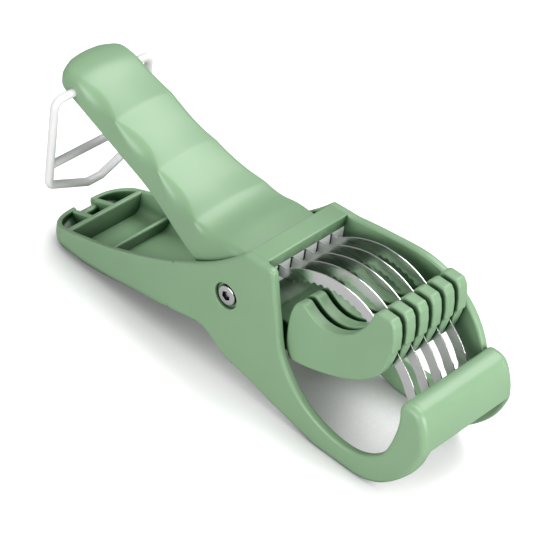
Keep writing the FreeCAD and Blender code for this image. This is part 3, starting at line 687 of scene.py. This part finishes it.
def bladeOutline():
    # the outer edge is the smooth arc; the inner edge lies a band's width inside it plus a sine
    # wave along its length, one wave for each tooth, fading out towards the nose
    look = {"band": 5.6, "tooth": 0.5, "pitch": 4.2, "fadeX": (68, 84), "rootDrop": 1.2,
            "rootX": 17.2}
    arc = [(20.5, 64.0), (31.0, 70.7), (45.5, 74.9), (61.0, 73.3), (77.0, 64.4), (88.6, 54.9),
           (93.8, 47.6)]
    outer = curveThrough(arc, 0.25)
    run = np.concatenate([[0], np.cumsum(np.linalg.norm(np.diff(outer, axis=0), axis=1))])
    along = np.gradient(outer, axis=0)
    along /= np.linalg.norm(along, axis=1)[:, None]
    square = np.stack([along[:, 1], -along[:, 0]], 1)
    fade = 1 - smoothStep(outer[:, 0], *look["fadeX"])
    depth = look["band"] + fade * look["tooth"] * np.sin(2 * math.pi * run / look["pitch"])
    inner = outer + square * depth[:, None]
    root = np.array([(12.0, 57.6), (12.0, 61.6), (look["rootX"], 64.0)])
    nose = np.array([(100.2, 40.6), (100.2, 36.6), (97.4, 36.6), (94.3, 38.0)])
    heel = [(look["rootX"], inner[0][1] - look["rootDrop"])]
    return evenLoop(joined(root, outer, nose, inner[::-1], heel), 0.3, 0.3)


def bladeStrip(number, y):
    # the outline as a thin slab with softened edges
    look = {"half": 0.25, "edge": 0.12, "crisp": 60}
    strip = roundedSlab([bladeOutline()], y - look["half"], y + look["half"], look["edge"],
                        look["edge"], 3, 0.15)
    piece = makeMesh("bladeStrip" + str(number), *strip)
    return place(crispEdges(piece, look["crisp"]), "frame", "blade_steel", blades,
                 "blade_" + str(number))


def rootPlate():
    # a strip under the bridge's lip; between every two blades it stands as a small tab, each
    # with its own slight turn: x grows by turn times the distance from the tab's middle, and
    # all of them lean forward towards the top
    look = {"half": 23.9, "gap": 0.8, "tabX": (16.58, 17.0), "tabEdge": 0.18,
            "tabZ": (55.9, 64.15), "lean": 0.016, "leanFrom": 60.0, "stripX": (16.5, 17.15),
            "stripEdge": 0.15, "stripZ": (54.6, 56.2), "crisp": 45,
            "turns": (0.020, -0.026, 0.022, -0.018, 0.028, -0.022)}
    parts = []
    (low, high), half = look["tabZ"], look["half"]
    starts = (-half, *bladeLevels)
    ends = [y - look["gap"] for y in bladeLevels] + [half]
    for y0, y1, turn in zip(starts, ends, look["turns"]):
        outline = evenLoop([(y0, low), (y1, low), (y1, high), (y0, high)], 0.3, 0.3)
        cloud, faces = acrossSlab(outline, *look["tabX"], look["tabEdge"], 3)
        middle = (y0 + y1) / 2
        cloud[:, 0] += turn * (cloud[:, 1] - middle) + look["lean"] * (look["leanFrom"]
                                                                       - cloud[:, 2])
        parts.append((cloud, faces))
    low, high = look["stripZ"]
    strip = evenLoop([(-half, low), (half, low), (half, high), (-half, high)], 0.5, 0.0)
    parts.append(acrossSlab(strip, *look["stripX"], look["stripEdge"], 3))
    piece = makeMesh("rootPlate", *mergedParts(parts))
    return place(crispEdges(piece, look["crisp"]), "frame", "blade_steel", tabs,
                 "blade_root_plate")


for number, y in enumerate(bladeLevels, 1):
    bladeStrip(number, y)
rootPlate()
print("blades made")


def handleHalf(x):
    # half the handle's width: round at the tip by a cubic, then straight, then wider to the front
    look = {"grip": 17.5, "front": 22.7, "tipX": -117.0, "tipLong": 8.8, "tipDrop": 8.6,
            "widenX": (-62, -18)}
    left = 1 - np.clip((x - look["tipX"]) / look["tipLong"], 0, 1)
    widened = (look["front"] - look["grip"]) * smoothStep(x, *look["widenX"])
    return look["grip"] - look["tipDrop"] * left ** 3.0 + widened


def handleShell():
    # a crowned top with finger hollows: along the grip the wave 1 - 2 |sin|^p stands in narrow
    # crests, which lift the top a little and sharpen the shoulder between top and side, most
    # of all at the near edge; the walls stand on a straight lower edge that runs below the pivot
    look = {"wall": 2.4, "shoulder": 3.1, "nearWave": 2.2, "farWave": 0.4, "sideY": 8.0,
            "crown": 1.7, "crownPower": 2.4, "nearEdgeWave": 0.7, "farEdgeWave": 0.25,
            "middleWave": 0.48, "crestPower": 1.0, "wavePitch": 27.0, "waveCrest": -79.0,
            "frontFade": (16, 30), "tipFade": (-107, -95), "tipX": -116.98, "frontX": 4.4,
            "tipSpine": -103.5, "tipCornerX": -117.0, "tipCorner": 2.2, "tipCornerSlope": 0.5,
            "slope": math.radians(21.5), "edgeBelowPivot": 7.1, "crisp": 50}
    tip = np.array([-116.9, -116.6, -115.8, -114.6, -113.0, -111.0, -108.0, -104.0, -99.0])
    line = np.concatenate([tip, np.arange(-92.0, look["frontX"], 8.0), [look["frontX"]]])
    side = [(look["tipX"], -3.5)] + [(a, -b) for a, b in zip(line, handleHalf(line))]
    path = curveThrough(side[::-1] + [(a, -b) for a, b in side], 0.7)
    path[:, 0] = np.maximum(path[:, 0], look["tipX"])
    depth = valueAlong([(-119.0, 5.6), (-117.0, 6.8), (-111.5, 10.22), (-104.0, 12.85),
                        (-92.0, 14.3), (-60.0, 16.2), (-34.0, 17.7), (-18.0, 20.75),
                        (-6.0, 26.9), (4.5, 30.4), (6.0, 30.8)])

    def lowerEdge(x):
        below = look["edgeBelowPivot"] / math.cos(look["slope"])
        return pivotZ - below - (x - pivotX) * math.tan(look["slope"])

    def wave(x):
        fade = smoothStep(-x, *look["frontFade"]) * smoothStep(x, *look["tipFade"])
        phase = math.pi * (x - look["waveCrest"]) / look["wavePitch"]
        return fade * (1 - 2 * np.abs(np.sin(phase)) ** look["crestPower"])

    def level(x, y):
        share = np.clip(np.abs(y) / handleHalf(x), 0, 1)
        edge = np.where(y < 0, look["nearEdgeWave"], look["farEdgeWave"])
        size = look["middleWave"] + (edge - look["middleWave"]) * share ** 3
        crown = look["crown"] * share ** look["crownPower"]
        return lowerEdge(x) + depth(x) - crown + size * (wave(x) - share)

    spine = np.stack([np.maximum(path[:, 0], look["tipSpine"]), 0 * path[:, 0]], 1)
    toFar = smoothStep(path[:, 1], -look["sideY"], look["sideY"])
    swing = look["nearWave"] + (look["farWave"] - look["nearWave"]) * toFar
    corner = look["shoulder"] - swing * wave(path[:, 0])
    most = look["tipCorner"] + (path[:, 0] - look["tipCornerX"]) * look["tipCornerSlope"]
    cloud, faces = spoonShell(path, spine, lowerEdge(path[:, 0]) + look["wall"] / 2, level,
                              np.minimum(corner, most), look["wall"], True, (10, 10, 30))
    piece = makeMesh("handleShell", cloud, faces)
    return place(crispEdges(piece, look["crisp"]), "lever", "green_plastic", green,
                 "upper_handle")


def handleInside():
    # the two bosses turned about the pivot line, and the cross web behind the spring
    look = {"bore": 3.1, "bossRadius": 9.0, "bossLong": 5.0, "bossEdge": 0.5,
            "bossY": (-22.7, 17.7), "webHalf": 19.4, "webZ": (55.0, 63.0),
            "webX": (-34.0, -31.6), "webEdge": 0.6}
    parts = [turned(roundedBar(look["bore"], look["bossRadius"], y, y + look["bossLong"],
                               look["bossEdge"])) for y in look["bossY"]]
    half, (low, high) = look["webHalf"], look["webZ"]
    web = evenLoop([(-half, low), (half, low), (half, high), (-half, high)], 0.8, 0.0)
    parts.append(acrossSlab(web, *look["webX"], look["webEdge"]))
    return place(makeMesh("handleInside", *mergedParts(parts)), "lever", "green_plastic", green)


handleShell()
handleInside()
print("handle made")


def ribLoop():
    # a rib seen from the side: its back, its long bottom up to the hook, and the egg's seat
    back = curveThrough([(38.5, 59.2), (36.4, 59.7), (33.4, 57.8), (31.4, 52.0), (30.8, 44.0),
                         (31.6, 34.0), (34.0, 28.6)])
    bottom = curveThrough([(34.0, 28.6), (43.0, 30.2), (59.3, 35.9), (71.5, 42.8), (79.0, 50.6),
                           (82.4, 60.0), (83.0, 64.6)])
    hook = [(84.0, 65.4), (83.6, 72.0), (82.4, 77.2), (80.4, 79.7), (73.6, 79.7), (71.8, 78.0)]
    seat = curveThrough([(71.8, 78.0), (68.6, 69.4), (63.0, 61.6), (54.5, 56.2), (46.5, 55.5),
                         (38.5, 59.2)])
    return evenLoop(joined(back, bottom[1:], hook, seat[1:]), 0.5, 0.6)


def cradleRibs():
    # the same rounded slab between and beside the blades
    look = {"levels": (-20, -12, -4, 4, 12, 20), "half": 2.7, "edge": 0.9}
    loop = ribLoop()
    parts = [roundedSlab([loop], y - look["half"], y + look["half"], look["edge"], look["edge"])
             for y in look["levels"]]
    return place(makeMesh("cradleRibs", *mergedParts(parts)), "lever", "green_plastic", green,
                 "presser_cradle")


def cradleCarrier():
    # the web that ties the ribs together, its arms with their bores on the sleeve, and the
    # tongues that run into the handle, all outlines carried straight along y
    look = {"webHalf": 19.9, "webEdge": 0.8, "armY": (8.0, 17.4), "tongueY": (8.1, 13.0),
            "edge": 0.6, "bore": 3.1, "around": 60}
    web = [(31.6, 43.4), (38.0, 39.4), (46.0, 35.0), (48.6, 32.4), (43.0, 30.5), (34.2, 28.9),
           (18.0, 28.1), (10.3, 30.3), (10.3, 45.8), (19.0, 42.0)]
    arm = [(20.0, 42.0), (20.0, 28.0), (10.0, 30.0), (1.0, 34.5), (-5.0, 37.0), (-7.8, 43.0),
           (-5.0, 49.4), (1.0, 51.9), (8.0, 48.0)]
    tongue = [(1.0, 51.5), (1.0, 41.0), (-31.2, 52.4), (-31.2, 58.5), (-18.0, 57.0)]
    parts = [roundedSlab([evenLoop(web, 0.6, 0.9)], -look["webHalf"], look["webHalf"],
                         look["webEdge"], look["webEdge"])]
    armLoops = [evenLoop(arm, 0.6, 1.6), circle(look["bore"], look["around"])]
    for side in (-1, 1):
        for loops, span in ((armLoops, "armY"), ([evenLoop(tongue, 0.6, 1.0)], "tongueY")):
            low, high = sorted(side * y for y in look[span])
            parts.append(roundedSlab(loops, low, high, look["edge"], look["edge"]))
    return place(makeMesh("cradleCarrier", *mergedParts(parts)), "lever", "green_plastic",
                 green)


cradleRibs()
cradleCarrier()
print("cradle made")


def screwHead():
    # a head turned about the pivot line: rings run from the hexagon of the recess to the
    # round rim, the face falls away outwards by a parabola and rolls over the rim on a quarter
    # circle, and a plain shank runs into the sleeve
    look = {"radius": 4.7, "face": -27.68, "dome": 0.32, "rim": 0.75, "rollShare": 0.55,
            "hex": 3.9, "recess": -26.3, "recessCone": 0.25, "recessEdge": 0.06,
            "mouth": 0.25, "mouthEdge": 0.12, "domeShare": 0.8, "under": -26.05,
            "neck": (2.0, -26.0), "shank": 1.88, "shankTop": -25.8, "shankEnd": (1.5, 4.0),
            "chamfer": 0.4, "around": 144, "crisp": 38}
    count = look["around"]
    angle = np.linspace(0, 2 * math.pi, count, endpoint=False)
    hexRadius = look["hex"] / 2 / np.cos((angle + math.pi / 6) % (math.pi / 3) - math.pi / 6)
    flat = look["radius"] - look["rim"]
    recess, recessEdge = look["recess"], look["recessEdge"]
    rings = [(0 * angle, recess + look["recessCone"]), (0.55 * hexRadius, recess),
             (hexRadius - recessEdge, recess), (hexRadius, recess - recessEdge)]
    for share in (0.3, 0.7, 1.0):
        rings.append((hexRadius, recess + (look["face"] + look["mouth"] - recess) * share))
    for share in np.linspace(0, 1, 10):
        radius = (hexRadius + look["mouthEdge"]) * (1 - share) + flat * share
        fall = look["dome"] * (radius / look["radius"]) ** 2 * look["domeShare"]
        rings.append((radius, look["face"] + fall))
    start = look["face"] + look["dome"] * look["rollShare"]
    for a in np.linspace(0.2, math.pi / 2, 7):
        rings.append((flat + look["rim"] * math.sin(a) + 0 * angle,
                      start + look["rim"] * (1 - math.cos(a))))
    endRadius, endY = look["shankEnd"]
    plain = [(look["radius"], look["under"]), look["neck"], (look["shank"], look["shankTop"]),
             (look["shank"], endY - look["chamfer"]), (endRadius, endY), (0.0, endY)]
    rings += [(radius + 0 * angle, y) for radius, y in plain]
    cloud = np.vstack([np.stack([pivotX + r * np.cos(angle), np.broadcast_to(y, r.shape),
                                 pivotZ + r * np.sin(angle)], 1) for r, y in rings])
    faces = asTuples([ringFaces(i * count, (i + 1) * count, count)
                      for i in range(len(rings) - 1)])
    piece = makeMesh("screwHead", cloud, faces)
    return place(crispEdges(piece, look["crisp"]), "frame", "hardware_steel", bright,
                 "pivot_screw")


def bailWire():
    # one bent wire from pin to pin, and a straight cross bar welded between its legs
    look = {"radius": 1.95, "x": -104.5, "z": 80.5, "bend": 4.0, "pin": 13.2, "half": 28.0,
            "cornerDrop": 44.5, "endDrop": 54.5, "endHalf": 4.0, "crossDrop": 34.0,
            "crossHalf": 27.8, "crisp": 60}
    right = [(look["endHalf"], -look["endDrop"]), (look["half"], -look["cornerDrop"]),
             (look["half"], 0), (look["pin"], 0)]
    corners = [(-y, z) for y, z in right[::-1]] + right
    path = roundedPath([(look["x"], y, look["z"] + z) for y, z in corners], look["bend"])
    y = np.linspace(-look["crossHalf"], look["crossHalf"], 90)
    cross = np.stack([look["x"] + 0 * y, y, look["z"] - look["crossDrop"] + 0 * y], 1)
    piece = makeMesh("bailWire", *mergedParts([tubeAlong(path, look["radius"]),
                                               tubeAlong(cross, look["radius"])]))
    return place(crispEdges(piece, look["crisp"]), "bail", "white_coating", white, "lock_bail")


screwHead()
bailWire()
print("screw and bail made")


# the inner pieces keep the shape they have in the frame
innerFinishes = {"handle_spring": springSteel(), "blade_rear_rod": bright,
                 "blade_front_rod": bright, "pivot_sleeve": bright,
                 "pivot_washers": washerNylon()}
for name, material in innerFinishes.items():
    nodes[name].data.materials.clear()
    nodes[name].data.materials.append(material)


def studioFloor():
    # a broad pale plane; seen by the camera it glows a little where it is open to the sky, so
    # that it passes into the white behind it, and it throws only a grey light on the object
    look = {"half": 3000.0, "level": -0.02, "reach": (0.05, 0.30, 0.85), "thrown": 0.42,
            "shadow": 0.56, "open": 1.0, "glow": 0.34, "roughness": 0.9}
    half, z = look["half"], look["level"]
    floor = makeMesh("studioFloor", [(-half, -half, z), (half, -half, z), (half, half, z),
                                     (-half, half, z)], [(0, 1, 2, 3)])
    material, tree, shader, _ = newMaterial("paleStudioFloor")
    toCamera = tree.nodes.new("ShaderNodeLightPath").outputs["Is Camera Ray"]
    near = openness(tree, *look["reach"])

    def grey(value):
        return (value, value, value)

    seen = mixed(tree, near, grey(look["shadow"]), grey(look["open"]))
    tree.links.new(mixed(tree, toCamera, grey(look["thrown"]), seen),
                   shader.inputs["Base Color"])
    glow = mixed(tree, near, grey(0.0), grey(look["glow"]))
    tree.links.new(mixed(tree, toCamera, grey(0.0), glow), shader.inputs["Emission Color"])
    shader.inputs["Emission Strength"].default_value = 1.0
    shader.inputs["Roughness"].default_value = look["roughness"]
    shader.inputs["Specular IOR Level"].default_value = 0.0
    floor.data.materials.append(material)


# each light: where it stands, what it looks at, its width and height in metres, its watts
softLights = {
    "overheadKey": {"spot": (0.05, 0.62, 1.15), "toward": (-0.09, 0, 0.08),
                    "size": (0.9, 0.9), "power": 13.5},
    "noseKey": {"spot": (1.30, 0.05, 0.42), "toward": (-0.03, 0, 0.06),
                "size": (0.8, 0.8), "power": 15.0},
    "sideFill": {"spot": (0.1, -1.4, 0.55), "toward": (0, 0, 0.05),
                 "size": (1.2, 0.8), "power": 17.0},
}


def softLight(name, look):
    # a rectangular lamp turned to face its target
    data = bpy.data.lights.new(name, "AREA")
    data.shape = "RECTANGLE"
    data.size, data.size_y = look["size"]
    data.energy = look["power"]
    lamp = bpy.data.objects.new(name, data)
    bpy.context.scene.collection.objects.link(lamp)
    lamp.location = look["spot"]
    aim = Vector(look["toward"]) - Vector(look["spot"])
    lamp.rotation_euler = aim.to_track_quat("-Z", "Y").to_euler()


def whiteSurround():
    # the camera sees plain white, and the object is lit by a weaker surround
    look = {"seen": 1.0, "thrown": 0.34}
    world = bpy.data.worlds.new("whiteSurround")
    world.use_nodes = True
    tree = world.node_tree
    thrown = tree.nodes["Background"]
    seen = tree.nodes.new("ShaderNodeBackground")
    for background, strength in ((thrown, look["thrown"]), (seen, look["seen"])):
        background.inputs["Color"].default_value = (1, 1, 1, 1)
        background.inputs["Strength"].default_value = strength
    path = tree.nodes.new("ShaderNodeLightPath")
    mix = tree.nodes.new("ShaderNodeMixShader")
    tree.links.new(path.outputs["Is Camera Ray"], mix.inputs["Fac"])
    tree.links.new(thrown.outputs["Background"], mix.inputs[1])
    tree.links.new(seen.outputs["Background"], mix.inputs[2])
    tree.links.new(mix.outputs["Shader"], tree.nodes["World Output"].inputs["Surface"])
    bpy.context.scene.world = world


def mainCamera():
    # a long lens in front of the nose, above it and to the near side
    look = {"lens": 170.2, "sensor": 36.0, "clipEnd": 20.0,
            "right": (0.72366, 0.68058, 0.11462), "up": (-0.50128, 0.40416, 0.76510),
            "back": (0.47439, -0.61112, 0.63363),
            "spot": (0.50563 + middleShift * mm, -0.65109, 0.71687)}
    data = bpy.data.cameras.new("mainCamera")
    data.lens = look["lens"]
    data.sensor_width = look["sensor"]
    data.clip_end = look["clipEnd"]
    camera = bpy.data.objects.new("mainCamera", data)
    bpy.context.scene.collection.objects.link(camera)
    rows = zip(look["right"], look["up"], look["back"], look["spot"])
    camera.matrix_world = Matrix([*rows, (0, 0, 0, 1)])
    bpy.context.scene.camera = camera


studioFloor()
for name, look in softLights.items():
    softLight(name, look)
whiteSurround()
mainCamera()
bpy.context.scene.view_settings.view_transform = "Standard"
print("stage made")
